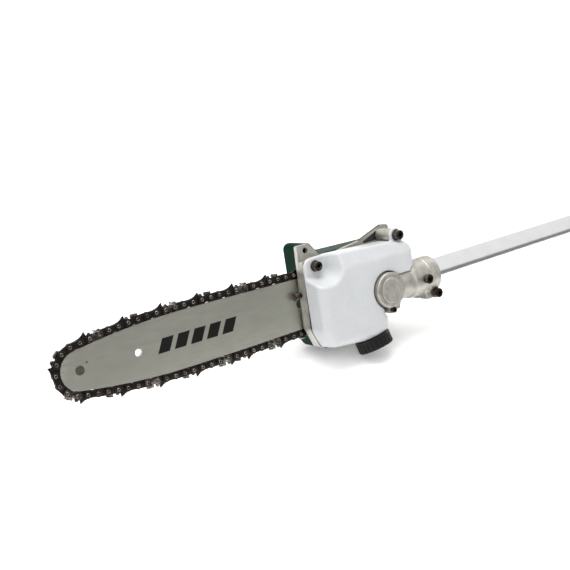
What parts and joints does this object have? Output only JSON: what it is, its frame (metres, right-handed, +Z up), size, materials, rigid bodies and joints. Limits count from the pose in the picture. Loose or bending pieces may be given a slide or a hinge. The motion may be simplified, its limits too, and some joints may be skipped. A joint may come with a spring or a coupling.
{
  "type": "telescoping pole saw attachment",
  "caption": "Chainsaw head with guide bar, chain, oil tank and gear case on a two-part telescoping pole with a drive shaft inside.",
  "frame": {"origin": "the floor point under the middle of the whole saw, lying on the floor on its filler cap, its sprocket cover and the far end of its pole", "axes": "+X along the pole, away from the guide bar; +Z up; +Y away from the oil tank, so the green cover is on +Y"},
  "size_m": [1.3848, 0.105, 0.1148],
  "materials": {
    "cast_aluminium": "die cast, satin",
    "bright_tube": "drawn and polished",
    "outer_tube_anodised": "drawn, satin anodised",
    "bar_steel": "ground, satin",
    "chain_dark": "blued and oily",
    "chain_bright": "peened, bright",
    "cutter_chrome": "hard chromed",
    "steel": "machined",
    "black_screws": "black oxide",
    "tank_plastic": "milky, translucent",
    "cover_green": "moulded, glossy",
    "black_plastic": "moulded",
    "rubber": "moulded",
    "bush_plastic": "moulded nylon"
  },
  "bodies": {
    "head": {"gear_case": "cast_aluminium", "gear_case_cap": "cast_aluminium", "bar_mount_plate": "cast_aluminium", "tank_gasket": "rubber", "bar_studs": "steel", "bar_nuts": "steel", "sprocket_cover": "cover_green", "oil_tank": "tank_plastic", "tank_screws": "black_screws", "tank_washers": "black_screws", "case_screws": "black_screws", "clamp_screw": "black_screws", "clamp_washer": "black_screws", "locating_screw": "black_screws", "case_side_screw": "black_screws", "output_bearings": "steel", "input_bearings": "steel", "inner_tube": "bright_tube", "shaft_bushes": "bush_plastic", "chain_tie_straps": "chain_dark", "chain_drive_links": "chain_dark", "chain_rivets": "chain_bright", "chain_cutters_near": "cutter_chrome", "chain_cutters_far": "cutter_chrome", "pipe_grommet": "rubber", "oil_pickup_pipe": "rubber", "oil_strainer": "black_plastic", "oil_pump": "black_plastic"},
    "bar": {"guide_bar": "bar_steel", "nose_rivet": "bar_steel"},
    "nose_wheel": {"nose_sprocket": "steel"},
    "tension_block": {"tension_pin": "steel"},
    "tension_adjuster": {"tension_screw": "black_screws"},
    "input_drive": {"drive_shaft": "steel", "bevel_pinion": "steel"},
    "output_drive": {"output_shaft": "steel", "bevel_gear": "steel", "drive_sprocket": "steel", "sprocket_washer": "steel", "sprocket_clip": "steel"},
    "outer_pole": {"outer_tube": "outer_tube_anodised", "lock_collar": "black_plastic", "lock_bolt": "steel", "lever_pin": "steel", "slide_bushes": "bush_plastic", "sleeve_bush": "bush_plastic", "button_spring": "steel"},
    "lever": {"lock_lever": "black_plastic"},
    "sleeve": {"drive_sleeve": "steel"},
    "button": {"release_button": "black_plastic"},
    "seal": {"cap_seal": "rubber"},
    "cap": {"filler_cap": "black_plastic"}
  },
  "joints": [
    {"name": "pole_extend", "type": "slide", "parent": "head", "child": "outer_pole", "axis": [0.9991, 0.0036, -0.0429], "range_m": [0, 0.4]},
    {"name": "lever_swing", "type": "hinge", "parent": "outer_pole", "child": "lever", "pos_m": [0.07618, -0.02142, 0.07315], "axis": [-0.9991, -0.0036, 0.0429], "range_deg": [0, 110]},
    {"name": "button_press", "type": "slide", "parent": "outer_pole", "child": "button", "axis": [-0.0392, -0.3338, -0.9418], "range_m": [0, 0.0032], "stiffness_N_per_m": 1500, "springref_m": -0.0005},
    {"name": "drive_shaft_spin", "type": "hinge", "parent": "head", "child": "input_drive", "pos_m": [-0.25086, -0.01651, 0.05637], "axis": [0.9991, 0.0036, -0.0429], "continuous": true},
    {"name": "output_spin", "type": "hinge", "parent": "head", "child": "output_drive", "pos_m": [-0.35125, 0.00906, 0.05149], "axis": [-0.0177, 0.9426, -0.3333], "continuous": true},
    {"name": "sleeve_spin", "type": "hinge", "parent": "outer_pole", "child": "sleeve", "pos_m": [0.34858, -0.01438, 0.03064], "axis": [0.9991, 0.0036, -0.0429], "continuous": true},
    {"name": "nose_sprocket_spin", "type": "hinge", "parent": "bar", "child": "nose_wheel", "pos_m": [-0.6665, 0.00993, 0.07065], "axis": [-0.0177, 0.9426, -0.3333], "continuous": true},
    {"name": "tension_screw_turn", "type": "hinge", "parent": "head", "child": "tension_adjuster", "pos_m": [-0.42627, 0.00712, 0.06858], "axis": [0.9986, 0, -0.0529], "range_deg": [0, 1350]},
    {"name": "tension_pin_slide", "type": "slide", "parent": "head", "child": "tension_block", "axis": [0.9986, 0, -0.0529], "range_m": [0, 0.003]},
    {"name": "bar_slide", "type": "slide", "parent": "head", "child": "bar", "axis": [0.9986, 0, -0.0529], "range_m": [0, 0.003]},
    {"name": "cap_lift", "type": "slide", "parent": "head", "child": "seal", "axis": [0.1188, -0.5605, -0.8196], "range_m": [0, 0.006]},
    {"name": "cap_turn", "type": "hinge", "parent": "seal", "child": "cap", "pos_m": [-0.37177, -0.03108, 0.02007], "axis": [0.1188, -0.5605, -0.8196], "range_deg": [0, 720]}
  ],
  "couplings": [
    {"joint": "output_spin", "follows": "drive_shaft_spin", "ratio": -0.8},
    {"joint": "sleeve_spin", "follows": "drive_shaft_spin", "ratio": 1},
    {"joint": "nose_sprocket_spin", "follows": "drive_shaft_spin", "ratio": -0.68571},
    {"joint": "tension_pin_slide", "follows": "bar_slide", "ratio": 1},
    {"joint": "tension_screw_turn", "follows": "bar_slide", "rad_per_m": 7854},
    {"joint": "cap_turn", "follows": "cap_lift", "rad_per_m": 2094.4}
  ]
}
